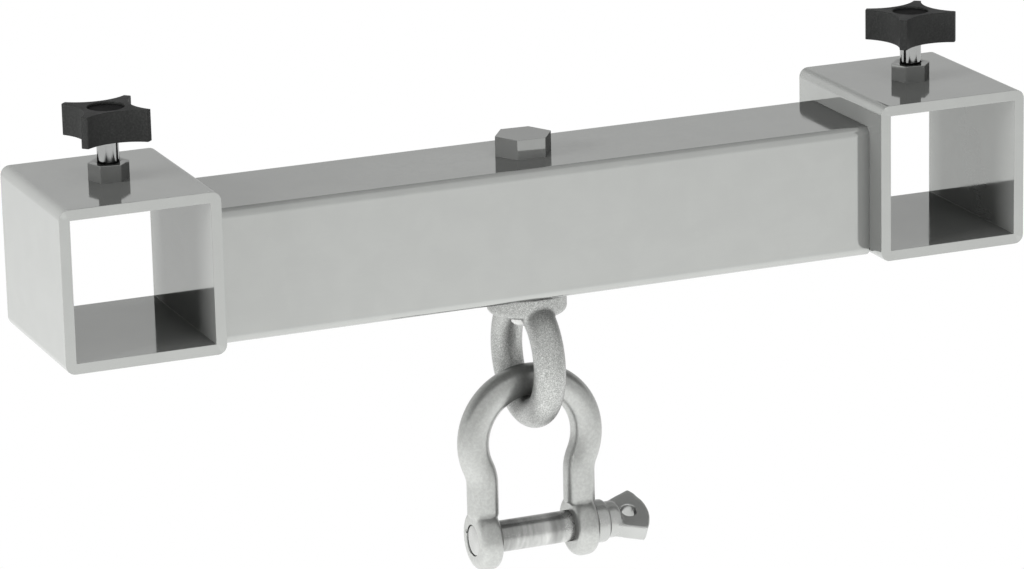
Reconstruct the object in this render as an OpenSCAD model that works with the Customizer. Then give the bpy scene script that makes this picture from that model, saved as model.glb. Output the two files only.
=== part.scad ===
// Fork-mounted lifting beam: two square fork pockets joined by a cross tube, each pocket
// with a knob screw that clamps the fork, and an eye nut with a bow shackle under the tube.
// Millimetres. Origin midway between the pockets, at the centre of their openings.
// +X runs along the cross tube, +Y along the forks towards the back, +Z up.

/* [Fork pockets] */
// Distance between the two pocket centres
pocket_pitch = 320; // [280:5:420]
// Outer width and height of a pocket's square tube
pocket_outer = 60; // [50:5:80]
// Wall of the pocket tube
pocket_wall = 4; // [3:0.5:5]
// Length of a pocket along the fork
pocket_length = 70; // [60:5:120]
// Outer corner radius of the pocket tube
pocket_corner = 3.5; // [2:0.5:6]

/* [Cross tube] */
// Outer width and height of the cross tube
beam_outer = 50; // [40:5:60]
// Wall of the cross tube
beam_wall = 3; // [2:0.5:5]
// Outer corner radius of the cross tube
beam_corner = 3; // [2:0.5:5]

/* [Clamp screws] */
// Major diameter of the clamp thread
stud_diameter = 8; // [6:1:12]
// Width across the flats of the welded nut
clamp_nut_flats = 13; // [10:1:19]
// Height of the welded nut
clamp_nut_height = 6.3; // [5:0.1:10]
// Bare length of stud between nut and knob at rest
stud_bare = 8.7; // [5:0.1:15]
// How far the stud's tip is drawn back above the pocket's ceiling
stud_tip_clear = 0.5; // [0.2:0.1:1]

/* [Knobs] */
// Radius of a knob at its four tips
knob_tip_radius = 17.15; // [15:0.05:25]
// Radius of a knob at the middle of its hollow sides
knob_waist_radius = 9.1; // [8.5:0.1:11]
// Radius of the hollow sides
knob_side_radius = 17.3; // [16:0.1:24]
// Thickness of a knob
knob_height = 11.5; // [10:0.5:16]
// Radius of the round recess in a knob's top
cap_recess_radius = 6.8; // [6:0.1:7.5]
// Turn of the left knob at rest, in degrees
left_knob_turn = 45; // [0:1:89]
// Turn of the right knob at rest, in degrees
right_knob_turn = 54; // [0:1:89]

/* [Eye bolt and eye nut] */
// Sideways place of the eye bolt
eye_x = 0; // [-20:0.1:20]
// Place of the eye bolt along the forks
eye_y = 0; // [-5:0.1:5]
// Major diameter of the bolt's thread
bolt_diameter = 12; // [10:1:14]
// Length of the bolt under its head
bolt_length = 65; // [60:1:66]
// Width across the flats of the bolt's head
bolt_head_flats = 19; // [16:1:22]
// Height of the bolt's head
bolt_head_height = 7.5; // [6:0.5:10]
// Outer diameter of the washer over the eye nut
washer_diameter = 24; // [22:1:28]
// Thickness of the washer
washer_height = 2.5; // [1.5:0.5:3]
// Diameter of the eye nut's foot
foot_diameter = 30; // [26:1:34]
// Height of the eye nut's foot
foot_height = 8; // [8:0.5:12]
// Mean radius of the eye's ring
ring_radius = 21; // [20:0.5:24]
// Thickness of the eye's ring
ring_thick = 12; // [10:0.5:13]

/* [Bow shackle] */
// Sideways place of the shackle's middle
shackle_x = 0; // [-4:0.1:4]
// Diameter of the shackle's bar
bar_diameter = 12; // [10:0.5:12]
// Mean radius of the bow
bow_radius = 23; // [22:0.5:26]
// Mean distance from the shackle's middle to a leg
leg_offset = 19.65; // [18:0.05:21]
// Depth from the middle of the crown to the pin
pin_depth = 60.4; // [58:0.2:66]
// Outer radius of the shackle's ears
ear_radius = 11.9; // [11:0.1:13]
// Thickness of the ears
ear_thick = 8.8; // [8:0.2:11]
// Diameter of the shackle's pin
pin_diameter = 12; // [11:0.5:12]
// Tilt of the pin's flat finger tab, in degrees
tab_tilt = 28.5; // [0:0.5:45]
// Thickness of the finger tab
tab_thick = 7; // [5:0.5:7]
// Reach of the finger tab from its neck
tab_radius = 15.8; // [14:0.1:18]

/* [Hidden] */
$fn = 96;
// a shaft is this much smaller than its hole, on the radius
running_gap = 0.05;
// hand clearance between two pieces that hang in each other
hang_gap = 0.3;
// hexagon: distance across the corners from the distance across the flats
corner_ratio = 2 / sqrt(3);
// the chamfer that breaks a sharp turned edge
edge_break = 0.6;

pocket_x = pocket_pitch / 2;
pocket_half = pocket_outer / 2;
pocket_bore = pocket_outer - 2 * pocket_wall;
pocket_y = pocket_length / 2;
roof_z = pocket_half - pocket_wall;

beam_length = pocket_pitch - pocket_outer;
beam_bottom = -pocket_half;
beam_top = beam_bottom + beam_outer;
beam_mid_z = beam_bottom + beam_outer / 2;
beam_bore = beam_outer - 2 * beam_wall;

stud_r = stud_diameter / 2;
stud_tip_z = roof_z + stud_tip_clear;
nut_top = pocket_half + clamp_nut_height;
knob_bottom = nut_top + stud_bare;
knob_top = knob_bottom + knob_height;
// hole in the pocket's roof, wider than the thread
roof_hole_r = stud_r + 0.5;
nut_turn = -11;
cap_recess_depth = 2;
cap_height = 1.4;
insert_r = 5.5;
insert_flange_r = 6.5;
insert_flange_h = 1.5;
insert_top = knob_top - cap_recess_depth - insert_flange_h;
stud_top = insert_top;

bolt_r = bolt_diameter / 2;
bolt_hole_r = bolt_r + 0.5;
bolt_head_turn = -3.5;
bolt_tip = beam_top - bolt_length;
sleeve_r = 10;
foot_top = beam_bottom - washer_height;
foot_bottom = foot_top - foot_height;
ring_r = ring_thick / 2;
// a standard eye nut's ring reaches this far below the top of its foot
eye_height = 53;
ring_z = foot_top - eye_height + ring_radius + ring_r;
foot_round = 2;

bar_r = bar_diameter / 2;
crown_z = ring_z - ring_radius + ring_r + bar_r + hang_gap;
bow_z = crown_z - bow_radius;
pin_z = crown_z - pin_depth;
// below its widest place the bow turns in, then back to two straight legs
turn_in = 24;
return_radius = (bow_radius - leg_offset) / (1 - cos(turn_in)) - bow_radius;
leg_top = bow_z - (bow_radius + return_radius) * sin(turn_in);
// the turn back is a hair thinner and laps both its neighbours, so the bar is one solid
lap_angle = 2;
lap_thin = 0.1;
// a leg's round bar ends in its ear, this far above the pin's collar
leg_end_gap = 0.9;
ear_round = 1.6;

pin_r = pin_diameter / 2;
pin_bore_r = pin_r + running_gap;
ear_outer = leg_offset + ear_thick / 2;
pin_end_sunk = 0.3;
collar_gap = 0.15;
collar_r = 8.2;
collar_length = 5.4;
collar_break = 1.2;
leg_end = pin_z + collar_r + leg_end_gap;
neck_r = 7;
neck_x = 31.2;
tab_neck_half = 6.15;
tab_flare = 0.378;
tab_hole_r = 2.9;
tab_hole_reach = 8.1;
// the tab's flanks run on past its round end, which trims them
tab_overrun = 6;

// A square with true round corners.
module rounded_square(side, corner) {
    inner = side - 2 * corner;
    square([side, inner], center = true);
    square([inner, side], center = true);
    for (sx = [-1, 1], sy = [-1, 1])
        translate([sx * inner / 2, sy * inner / 2]) circle(r = corner);
}

// A solid hexagon standing on z = 0, with a corner at the given turn.
module hexagon(flats, height, turn) {
    rotate([0, 0, turn]) cylinder(d = flats * corner_ratio, h = height, $fn = 6);
}

// A round bar along +Z with a chamfer at its lower end.
module chamfered_bar(radius, height, chamfer) {
    rotate_extrude()
        polygon([
            [0, 0], [radius - chamfer, 0], [radius, chamfer],
            [radius, height], [0, height]
        ]);
}

// Square tube of a fork pocket, with the hole for the clamp screw in its roof.
module fork_pocket(side) {
    color("Gainsboro")
        difference() {
            translate([side * pocket_x, pocket_y, 0]) rotate([90, 0, 0])
                linear_extrude(pocket_length) rounded_square(pocket_outer, pocket_corner);
            translate([side * pocket_x, pocket_y + 1, 0]) rotate([90, 0, 0])
                linear_extrude(pocket_length + 2) square(pocket_bore, center = true);
            translate([side * pocket_x, 0, 0]) cylinder(r = roof_hole_r, h = pocket_outer);
        }
}

// Cross tube between the pockets, drilled through for the eye bolt.
module beam_tube() {
    color("Gainsboro")
        difference() {
            translate([-beam_length / 2, 0, beam_mid_z]) rotate([90, 0, 90])
                linear_extrude(beam_length) rounded_square(beam_outer, beam_corner);
            translate([-beam_length / 2 - 1, 0, beam_mid_z]) rotate([90, 0, 90])
                linear_extrude(beam_length + 2) square(beam_bore, center = true);
            translate([eye_x, eye_y, beam_bottom - 1])
                cylinder(r = bolt_hole_r, h = beam_outer + 2);
        }
}

// Nut welded to a pocket's roof.
module clamp_nut(side) {
    color("DimGray")
        translate([side * pocket_x, 0, pocket_half])
            difference() {
                hexagon(clamp_nut_flats, clamp_nut_height, nut_turn);
                translate([0, 0, -1]) cylinder(r = stud_r + running_gap, h = clamp_nut_height + 2);
            }
}

// Clamp stud, from its tip in the roof hole to its seat in the knob's insert.
module clamp_stud(side) {
    color("Silver")
        translate([side * pocket_x, 0, stud_tip_z])
            chamfered_bar(stud_r, stud_top - stud_tip_z, edge_break);
}

// Metal insert moulded into a knob, flanged under the cap.
module knob_insert(side) {
    color("DarkGray")
        translate([side * pocket_x, 0, 0])
            difference() {
                union() {
                    translate([0, 0, knob_bottom])
                        cylinder(r = insert_r, h = insert_top - knob_bottom);
                    translate([0, 0, insert_top])
                        cylinder(r = insert_flange_r, h = insert_flange_h);
                }
                translate([0, 0, knob_bottom - 1])
                    cylinder(r = stud_r + running_gap, h = insert_top - knob_bottom + 1 + running_gap);
            }
}

// Outline of a knob: a disc with four hollow sides.
module knob_outline() {
    difference() {
        circle(r = knob_tip_radius);
        for (quarter = [0:3])
            rotate([0, 0, 45 + 90 * quarter])
                translate([knob_waist_radius + knob_side_radius, 0]) circle(r = knob_side_radius);
    }
}

// Four-lobed knob, open in the middle for its insert and its cap.
module knob(side, turn) {
    color([0.13, 0.13, 0.13])
        translate([side * pocket_x, 0, knob_bottom])
            difference() {
                rotate([0, 0, turn]) linear_extrude(knob_height) knob_outline();
                translate([0, 0, -1]) cylinder(r = insert_r, h = knob_height);
                translate([0, 0, insert_top - knob_bottom])
                    cylinder(r = insert_flange_r, h = insert_flange_h + 1);
                translate([0, 0, knob_height - cap_recess_depth])
                    cylinder(r = cap_recess_radius, h = cap_recess_depth + 1);
            }
}

// Round cover over a knob's insert, sunk a little below the knob's top.
module knob_cap(side) {
    color([0.07, 0.07, 0.07])
        translate([side * pocket_x, 0, knob_top - cap_recess_depth])
            cylinder(r = cap_recess_radius, h = cap_height);
}

// Hexagon bolt down through the cross tube.
module eye_bolt() {
    color("DimGray")
        translate([eye_x, eye_y, 0]) {
            translate([0, 0, beam_top]) hexagon(bolt_head_flats, bolt_head_height, bolt_head_turn);
            translate([0, 0, bolt_tip]) chamfered_bar(bolt_r, bolt_length, edge_break);
        }
}

// Spacer round the bolt that keeps the cross tube's walls apart.
module bolt_sleeve() {
    color("Gray")
        translate([eye_x, eye_y, beam_bottom + beam_wall])
            difference() {
                cylinder(r = sleeve_r, h = beam_bore);
                translate([0, 0, -1]) cylinder(r = bolt_hole_r, h = beam_bore + 2);
            }
}

// Plain washer between the cross tube and the eye nut.
module eye_washer() {
    color("Gray")
        translate([eye_x, eye_y, foot_top])
            difference() {
                cylinder(d = washer_diameter, h = washer_height);
                translate([0, 0, -1]) cylinder(r = bolt_hole_r, h = washer_height + 2);
            }
}

// Lifting eye nut: a round foot with the bolt's hole and a flat top, and a ring across
// the cross tube.
module eye_nut() {
    foot_r = foot_diameter / 2;
    color("LightGray")
        difference() {
            union() {
                translate([eye_x, eye_y, foot_bottom])
                    rotate_extrude() {
                        translate([0, foot_round]) square([foot_r, foot_height - foot_round]);
                        square([foot_r - foot_round, foot_height]);
                        translate([foot_r - foot_round, foot_round]) circle(r = foot_round);
                    }
                translate([eye_x, eye_y, ring_z]) rotate([0, 90, 0])
                    rotate_extrude() translate([ring_radius, 0]) circle(r = ring_r);
            }
            translate([eye_x, eye_y, ring_z])
                cylinder(r = bolt_r + running_gap, h = foot_top - ring_z + 1);
            translate([eye_x, eye_y, foot_top]) cylinder(r = foot_r, h = ring_r);
        }
}

// Bar of the bow, from one turn in, over the crown, to the other.
module bow_arc() {
    rotate([90, 0, 0])
        rotate_extrude(start = -turn_in, angle = 180 + 2 * turn_in)
            translate([bow_radius, 0]) circle(r = bar_r);
}

// Right side of the bow below its arc: the turn back and the straight leg.
module bow_leg() {
    rotate([90, 0, 0]) rotate([0, 0, -turn_in])
        translate([bow_radius + return_radius, 0, 0]) rotate([0, 0, 180 - lap_angle])
            rotate_extrude(angle = turn_in + 2 * lap_angle)
                translate([return_radius, 0]) circle(r = bar_r - lap_thin);
    translate([leg_offset, 0, leg_end - bow_z]) cylinder(r = bar_r, h = leg_top - leg_end);
}

// Flattened eye at the end of a leg, with round edges, standing on the plane x = 0.
module ear() {
    rotate([0, 90, 0])
        rotate_extrude() {
            square([ear_radius - ear_round, ear_thick]);
            translate([0, ear_round]) square([ear_radius, ear_thick - 2 * ear_round]);
            for (edge = [ear_round, ear_thick - ear_round])
                translate([ear_radius - ear_round, edge]) circle(r = ear_round);
        }
}

// Bow of the shackle, bored through both ears for the pin.
module shackle_bow() {
    color("LightGray")
        difference() {
            union() {
                translate([shackle_x, eye_y, bow_z]) bow_arc();
                for (half = [0, 1])
                    translate([shackle_x, eye_y, bow_z]) mirror([half, 0, 0]) bow_leg();
                for (side = [-1, 1])
                    translate([shackle_x + side * leg_offset - ear_thick / 2, eye_y, pin_z]) ear();
            }
            translate([shackle_x - 2 * ear_outer, eye_y, pin_z]) rotate([0, 90, 0])
                cylinder(r = pin_bore_r, h = 4 * ear_outer);
        }
}

// Outline of the finger tab: flanks that flare from the neck, and a round end.
module tab_outline() {
    far = tab_radius + tab_overrun;
    intersection() {
        circle(r = tab_radius);
        polygon([
            [-1, -tab_neck_half], [0, -tab_neck_half], [far, -tab_neck_half - tab_flare * far],
            [far, tab_neck_half + tab_flare * far], [0, tab_neck_half], [-1, tab_neck_half]
        ]);
    }
}

// Screw pin: bar, collar against the right ear, neck and a drilled finger tab.
module shackle_pin() {
    pin_start = -ear_outer + pin_end_sunk;
    collar_start = ear_outer + collar_gap;
    color("Silver")
        translate([shackle_x, eye_y, pin_z]) {
            translate([pin_start, 0, 0]) rotate([0, 90, 0])
                chamfered_bar(pin_r, collar_start - pin_start, edge_break);
            translate([collar_start, 0, 0]) rotate([0, 90, 0])
                rotate_extrude()
                    polygon([
                        [0, 0], [collar_r - edge_break, 0], [collar_r, edge_break],
                        [collar_r, collar_length - 2 * collar_break],
                        [collar_r - collar_break, collar_length], [0, collar_length]
                    ]);
            translate([collar_start, 0, 0]) rotate([0, 90, 0])
                cylinder(r = neck_r, h = neck_x - collar_start + 1);
            translate([neck_x, 0, 0]) rotate([tab_tilt, 0, 0])
                translate([0, 0, -tab_thick / 2])
                    difference() {
                        linear_extrude(tab_thick) tab_outline();
                        translate([tab_hole_reach, 0, -1]) cylinder(r = tab_hole_r, h = tab_thick + 2);
                    }
        }
}

beam_tube();
fork_pocket(-1);  // left_fork_pocket
fork_pocket(1);  // right_fork_pocket
clamp_nut(-1);  // left_clamp_nut
clamp_nut(1);  // right_clamp_nut
clamp_stud(-1);  // left_clamp_stud
clamp_stud(1);  // right_clamp_stud
knob(-1, left_knob_turn);  // left_knob
knob(1, right_knob_turn);  // right_knob
knob_insert(-1);  // left_knob_insert
knob_insert(1);  // right_knob_insert
knob_cap(-1);  // left_knob_cap
knob_cap(1);  // right_knob_cap
eye_bolt();
bolt_sleeve();
eye_washer();
eye_nut();
shackle_bow();
shackle_pin();
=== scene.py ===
"""Fork-mounted lifting beam: tubes, clamp screws with knobs, eye nut and bow shackle,
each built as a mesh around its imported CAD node. Metres, in the CAD part's own frame."""

import math

import bmesh
import bpy
import numpy as np
from mathutils import Matrix, Vector, noise


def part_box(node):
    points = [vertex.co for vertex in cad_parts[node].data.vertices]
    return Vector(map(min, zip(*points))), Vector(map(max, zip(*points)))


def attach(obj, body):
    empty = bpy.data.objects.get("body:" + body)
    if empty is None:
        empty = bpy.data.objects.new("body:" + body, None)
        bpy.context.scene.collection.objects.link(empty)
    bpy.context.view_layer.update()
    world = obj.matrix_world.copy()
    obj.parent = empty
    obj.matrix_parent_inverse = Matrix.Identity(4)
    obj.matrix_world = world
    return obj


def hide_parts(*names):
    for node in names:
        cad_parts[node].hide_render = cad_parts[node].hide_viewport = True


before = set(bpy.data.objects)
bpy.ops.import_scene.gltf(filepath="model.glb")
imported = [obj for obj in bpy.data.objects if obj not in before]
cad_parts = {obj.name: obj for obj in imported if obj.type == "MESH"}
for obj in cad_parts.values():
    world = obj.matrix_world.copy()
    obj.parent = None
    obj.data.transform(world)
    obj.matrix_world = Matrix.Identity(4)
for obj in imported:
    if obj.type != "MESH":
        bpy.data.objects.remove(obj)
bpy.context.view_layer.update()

MM = 0.001
SIDES = ("left", "right")
X_AXIS, Y_AXIS, Z_AXIS = AXES = np.eye(3)


# ---------------------------------------------------------------- outlines


def polygon_outline(sides, apothem, corner, turn, steps=6, support=0.3 * MM):
    """Regular polygon with round corners, and a point on the flat beside each corner."""
    half = math.pi / sides
    reach = (apothem - corner) / math.cos(half)
    points = []
    for i in range(sides):
        middle = turn + 2 * math.pi * i / sides
        centre = reach * np.array([math.cos(middle), math.sin(middle)])
        arc = [
            centre + corner * np.array([math.cos(a), math.sin(a)])
            for a in np.linspace(middle - half, middle + half, steps + 1)
        ]
        back, on = middle - half - math.pi / 2, middle + half + math.pi / 2
        points.append(arc[0] + support * np.array([math.cos(back), math.sin(back)]))
        points += arc
        points.append(arc[-1] + support * np.array([math.cos(on), math.sin(on)]))
    return np.array(points)


def circle_beside(outline, radius):
    """Circle whose points stand at the same angles as the outline's."""
    return outline / np.linalg.norm(outline, axis=1)[:, None] * radius


def circle(radius, count=96):
    turns = np.arange(count) * 2 * math.pi / count
    return np.stack([np.cos(turns), np.sin(turns)], 1) * radius


def soften(corners, radii, steps=3, support=0.12 * MM, closed=True):
    """Rounds a profile's corners, and adds a support point beside each round."""
    out, last = [], len(corners) - 1
    for i, (corner, radius) in enumerate(zip(corners, radii)):
        point = np.array(corner, float)
        if radius == 0 or (not closed and i in (0, last)):
            out.append(point)
            continue
        u = np.array(corners[i - 1]) - point
        v = np.array(corners[(i + 1) % (last + 1)]) - point
        u, v = u / np.linalg.norm(u), v / np.linalg.norm(v)
        half = math.acos(float(np.clip(u @ v, -1, 1))) / 2
        reach, sweep = radius / math.tan(half), math.pi - 2 * half
        bisector = (u + v) / np.linalg.norm(u + v)
        centre = point + bisector * radius / math.sin(half)
        start, end = point + u * reach - centre, point + v * reach - centre
        out.append(point + u * (reach + support))
        for s in range(steps + 1):
            a = sweep * s / steps
            out.append(
                centre + (math.sin(sweep - a) * start + math.sin(a) * end) / math.sin(sweep)
            )
        out.append(point + v * (reach + support))
    return np.array(out)


# ------------------------------------------------------------------- skins


def skin(loops, wrap=False, caps=False):
    """Points and faces over loops that all have the same number of points."""
    count, n = len(loops), len(loops[0])
    faces = []
    for i in range(count if wrap else count - 1):
        a, b = i * n, (i + 1) % count * n
        faces += [(a + j, a + (j + 1) % n, b + (j + 1) % n, b + j) for j in range(n)]
    if caps:
        faces += [tuple(range(n))[::-1], tuple(range((count - 1) * n, count * n))]
    return np.concatenate(loops), faces


def stack(levels, base, u, v, along):
    """Loops in space from (flat outline, height) pairs, along an axis through base."""
    base = np.array(base, float)
    return [
        base + np.outer(flat[:, 0], u) + np.outer(flat[:, 1], v) + height * np.array(along)
        for flat, height in levels
    ]


def upright(levels, base):
    """Loops stacked along Z, with their own X and Y kept."""
    return stack(levels, base, X_AXIS, Y_AXIS, Z_AXIS)


def lathe(profile, base, along=Z_AXIS, count=96, wrap=True, caps=False):
    """Turned part: (radius, height) pairs spun about an axis through base."""
    u = X_AXIS if abs(along[0]) < 0.5 else Y_AXIS
    v = np.cross(along, u)
    levels = [(circle(r, count), h) for r, h in profile]
    return skin(stack(levels, base, u, v, along), wrap, caps)


def sweep(path, across, radius, count=40, closed=False):
    """Round bar along a flat path. across is the direction square to the path's plane."""
    path = np.array(path)
    ahead, behind = np.roll(path, -1, 0), np.roll(path, 1, 0)
    if not closed:
        ahead[-1], behind[0] = path[-1], path[0]
    tangent = ahead - behind
    tangent /= np.linalg.norm(tangent, axis=1)[:, None]
    side = np.cross(tangent, across)
    turns = np.arange(count) * 2 * math.pi / count
    loops = [
        p + radius * (np.outer(np.cos(turns), s) + np.outer(np.sin(turns), across))
        for p, s in zip(path, side)
    ]
    return skin(loops, wrap=closed, caps=not closed)


# ------------------------------------------------------------ mesh pieces


def mesh_object(name, shapes):
    """One object from one or more closed skins."""
    points, faces, first = [], [], 0
    for shape_points, shape_faces in shapes:
        points.append(shape_points)
        faces += [tuple(first + i for i in face) for face in shape_faces]
        first += len(shape_points)
    mesh = bpy.data.meshes.new(name)
    mesh.from_pydata(np.concatenate(points).tolist(), [], faces)
    made = bmesh.new()
    made.from_mesh(mesh)
    bmesh.ops.recalc_face_normals(made, faces=made.faces)
    made.to_mesh(mesh)
    made.free()
    piece = bpy.data.objects.new(name, mesh)
    bpy.context.scene.collection.objects.link(piece)
    return piece


def bake_modifiers(piece):
    graph = bpy.context.evaluated_depsgraph_get()
    mesh = bpy.data.meshes.new_from_object(piece.evaluated_get(graph))
    old = piece.data
    piece.modifiers.clear()
    piece.data = mesh
    bpy.data.meshes.remove(old)


def cut_away(piece, *cutters):
    """Takes each cutter's closed skin out of the piece."""
    for shape in cutters:
        tool = mesh_object("cutter", [shape])
        change = piece.modifiers.new("cut", "BOOLEAN")
        change.operation, change.solver, change.object = "DIFFERENCE", "EXACT", tool
        bake_modifiers(piece)
        bpy.data.objects.remove(tool)


def fuse(piece, voxel):
    """Joins overlapping skins into one forged or cast surface."""
    change = piece.modifiers.new("fuse", "REMESH")
    change.mode, change.voxel_size = "VOXEL", voxel
    bake_modifiers(piece)


def points_of(piece):
    points = np.zeros(len(piece.data.vertices) * 3)
    piece.data.vertices.foreach_get("co", points)
    return points.reshape(-1, 3)


def set_points(piece, points):
    piece.data.vertices.foreach_set("co", points.ravel())
    piece.data.update()


def relax(piece, weight, rounds):
    """Pulls each point towards the middle of its neighbours, by its own weight."""
    points = points_of(piece)
    edges = np.zeros(len(piece.data.edges) * 2, int)
    piece.data.edges.foreach_get("vertices", edges)
    a, b = edges.reshape(-1, 2).T
    share = np.bincount(a, minlength=len(points)) + np.bincount(b, minlength=len(points))
    for _ in range(rounds):
        total = np.zeros_like(points)
        for k in range(3):
            total[:, k] = np.bincount(a, points[b, k], len(points))
            total[:, k] += np.bincount(b, points[a, k], len(points))
        points += weight[:, None] * (total / share[:, None] - points)
    set_points(piece, points)


FINER_GRAIN, FINER_SHARE, SINK = 2.3, 0.5, 0.4


def roughen(piece, depth, grain):
    """Small uneven dents of a cast skin, along the surface normals."""
    points = points_of(piece)
    normals = np.zeros(len(points) * 3)
    piece.data.vertices.foreach_get("normal", normals)
    coarse = np.array([noise.noise(Vector(p / grain)) for p in points])
    fine = np.array([noise.noise(Vector(p / grain * FINER_GRAIN)) for p in points])
    lift = coarse + FINER_SHARE * fine - SINK
    set_points(piece, points + normals.reshape(-1, 3) * (depth * lift)[:, None])


def near(distance, width):
    """1 where the distance is nil, fading to 0 at the width."""
    t = np.clip(1 - np.abs(distance) / width, 0, 1)
    return t * t * (3 - 2 * t)


SHARP_EDGE = math.radians(30)


def hand_over(piece, body, nodes, material):
    """Smooth shading, finish, body, material slot and the CAD nodes that it stands for."""
    mesh = piece.data
    mesh.polygons.foreach_set("use_smooth", np.ones(len(mesh.polygons), bool))
    mesh.set_sharp_from_angle(angle=SHARP_EDGE)
    mesh.materials.clear()
    mesh.materials.append(material)
    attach(piece, body)
    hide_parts(*nodes)


def middle_of(node):
    """Middle of the node's box."""
    low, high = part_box(node)
    return np.array((low + high) / 2)


def axis_foot(node):
    """Where the node's own upright axis crosses height 0."""
    return middle_of(node) * [1, 1, 0]


# --------------------------------------------------------- shader effects


def new_group(name, inputs, outputs):
    tree = bpy.data.node_groups.new(name, "ShaderNodeTree")
    for label, kind, value in inputs:
        socket = tree.interface.new_socket(name=label, in_out="INPUT", socket_type=kind)
        socket.default_value = value
    for label in outputs:
        tree.interface.new_socket(name=label, in_out="OUTPUT", socket_type="NodeSocketFloat")
    return tree, tree.nodes.new("NodeGroupInput"), tree.nodes.new("NodeGroupOutput")


def add(tree, kind, links=None, **settings):
    """A node with its settings, and its inputs linked or set by socket name or number."""
    node = tree.nodes.new(kind)
    for key, value in settings.items():
        setattr(node, key, value)
    for key, value in (links or {}).items():
        if isinstance(value, bpy.types.NodeSocket):
            tree.links.new(value, node.inputs[key])
        else:
            node.inputs[key].default_value = value
    return node


def ease(tree, value, low, high, to_low=0.0, to_high=1.0):
    """Goes smoothly from to_low to to_high as the value goes from low to high."""
    links = {
        "Value": value, "From Min": low, "From Max": high, "To Min": to_low, "To Max": to_high,
    }
    node = add(tree, "ShaderNodeMapRange", links, interpolation_type="SMOOTHSTEP")
    return node.outputs["Result"]


def math_node(tree, operation, a, b=0.0):
    return add(tree, "ShaderNodeMath", {0: a, 1: b}, operation=operation).outputs[0]


def place(tree):
    """Metres in the part's frame, which stay with the piece when it moves."""
    return add(tree, "ShaderNodeTexCoord").outputs["Object"]


def make_grain_group():
    """Fine lines left by drawing or turning. Stretch is lines a metre on each axis."""
    tree, source, out = new_group(
        "drawn_grain", [("Stretch", "NodeSocketVector", (2000, 2000, 30))], ["Lines", "Height"]
    )
    scaled = add(
        tree, "ShaderNodeVectorMath", {0: place(tree), 1: source.outputs["Stretch"]},
        operation="MULTIPLY",
    )
    lines = add(
        tree, "ShaderNodeTexNoise",
        {"Vector": scaled.outputs[0], "Scale": 1.0, "Detail": 3.0, "Roughness": 0.6},
    ).outputs["Fac"]
    tree.links.new(ease(tree, lines, 0.3, 0.7), out.inputs["Lines"])
    tree.links.new(lines, out.inputs["Height"])
    return tree


def make_smudge_group():
    """Soft blotches from handling, between a low and a high value."""
    tree, source, out = new_group(
        "handling_smudge",
        [("Scale", "NodeSocketFloat", 40.0), ("Low", "NodeSocketFloat", 0.0),
         ("High", "NodeSocketFloat", 1.0)],
        ["Value"],
    )
    cloud = add(
        tree, "ShaderNodeTexNoise",
        {"Vector": place(tree), "Scale": source.outputs["Scale"], "Detail": 5.0,
         "Roughness": 0.55, "Distortion": 0.4},
    ).outputs["Fac"]
    value = ease(tree, cloud, 0.35, 0.68, source.outputs["Low"], source.outputs["High"])
    tree.links.new(value, out.inputs["Value"])
    return tree


def make_wear_group():
    """Mask of outer edges, broken up as rubbed edges are."""
    tree, source, out = new_group(
        "edge_wear",
        [("Amount", "NodeSocketFloat", 1.0), ("Scale", "NodeSocketFloat", 500.0)], ["Mask"],
    )
    sharp = add(tree, "ShaderNodeNewGeometry").outputs["Pointiness"]
    patches = add(
        tree, "ShaderNodeTexNoise",
        {"Vector": place(tree), "Scale": source.outputs["Scale"], "Detail": 3.0},
    ).outputs["Fac"]
    mask = math_node(
        tree, "MULTIPLY", ease(tree, sharp, 0.51, 0.6), ease(tree, patches, 0.3, 0.6)
    )
    tree.links.new(math_node(tree, "MULTIPLY", mask, source.outputs["Amount"]), out.inputs["Mask"])
    return tree


CLOUD_SCALE, CELL_SHARE = 0.22, 0.35


def make_speckle_group():
    """Small light and dark specks, with the pits that go with them."""
    tree, source, out = new_group(
        "speckle", [("Scale", "NodeSocketFloat", 900.0)], ["Specks", "Clouds", "Height"]
    )
    fine = add(
        tree, "ShaderNodeTexNoise",
        {"Vector": place(tree), "Scale": source.outputs["Scale"], "Detail": 2.0, "Roughness": 0.7},
    ).outputs["Fac"]
    cells = add(
        tree, "ShaderNodeTexVoronoi",
        {"Vector": place(tree), "Scale": source.outputs["Scale"]}, feature="SMOOTH_F1",
    ).outputs["Distance"]
    wide = math_node(tree, "MULTIPLY", source.outputs["Scale"], CLOUD_SCALE)
    clouds = add(
        tree, "ShaderNodeTexNoise", {"Vector": place(tree), "Scale": wide, "Detail": 3.0}
    ).outputs["Fac"]
    both = math_node(tree, "ADD", fine, math_node(tree, "MULTIPLY", cells, CELL_SHARE))
    tree.links.new(ease(tree, both, 0.45, 0.95), out.inputs["Specks"])
    tree.links.new(ease(tree, clouds, 0.32, 0.68), out.inputs["Clouds"])
    tree.links.new(both, out.inputs["Height"])
    return tree


def make_dust_group():
    """Dust on faces that look up."""
    tree, source, out = new_group(
        "resting_dust", [("Amount", "NodeSocketFloat", 1.0)], ["Mask"]
    )
    normal = add(tree, "ShaderNodeNewGeometry").outputs["Normal"]
    up = add(tree, "ShaderNodeSeparateXYZ", {0: normal}).outputs["Z"]
    patches = add(
        tree, "ShaderNodeTexNoise", {"Vector": place(tree), "Scale": 260.0, "Detail": 6.0}
    ).outputs["Fac"]
    mask = math_node(
        tree, "MULTIPLY", ease(tree, up, 0.5, 1.0), ease(tree, patches, 0.35, 0.75)
    )
    tree.links.new(math_node(tree, "MULTIPLY", mask, source.outputs["Amount"]), out.inputs["Mask"])
    return tree


GRAIN, SMUDGE, WEAR = make_grain_group(), make_smudge_group(), make_wear_group()
SPECKLE, DUST = make_speckle_group(), make_dust_group()


# --------------------------------------------------------------- finishes


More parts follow.
